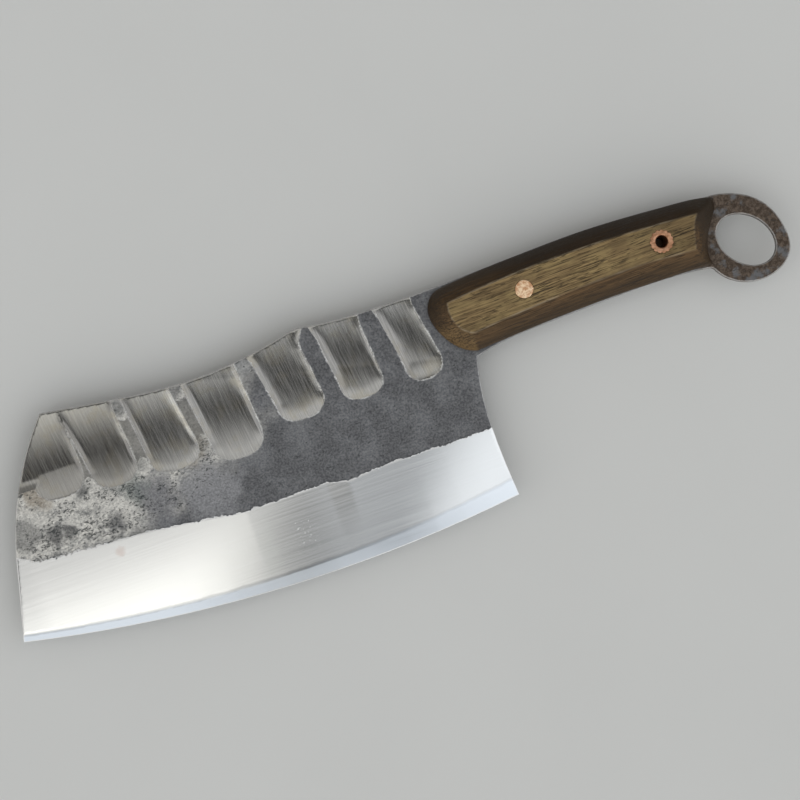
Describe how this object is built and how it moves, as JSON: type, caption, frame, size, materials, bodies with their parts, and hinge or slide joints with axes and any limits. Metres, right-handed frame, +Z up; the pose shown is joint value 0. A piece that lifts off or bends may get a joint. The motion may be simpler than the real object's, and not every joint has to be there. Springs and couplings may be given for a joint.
{
  "type": "meat cleaver",
  "caption": "Forged full-tang cleaver with ground hollows along the spine, riveted wooden scales and a ring end to hang it by.",
  "frame": {"origin": "under the middle of the part's box, on the plane the cleaver lies on", "axes": "the cleaver lies on its side: +X from the blade's toe to the ring, +Y from the cutting edge to the spine, +Z up out of the near face, square to the blade"},
  "size_m": [0.3207, 0.0922, 0.022],
  "materials": {
    "steel": "black forge scale above, ground and brushed below",
    "wood": "oiled dark hardwood, sanded",
    "copper": "sanded copper"
  },
  "bodies": {
    "root": {"blade": "steel", "near_scale": "wood", "far_scale": "wood", "front_rivet": "copper", "lanyard_tube": "copper"}
  },
  "joints": []
}
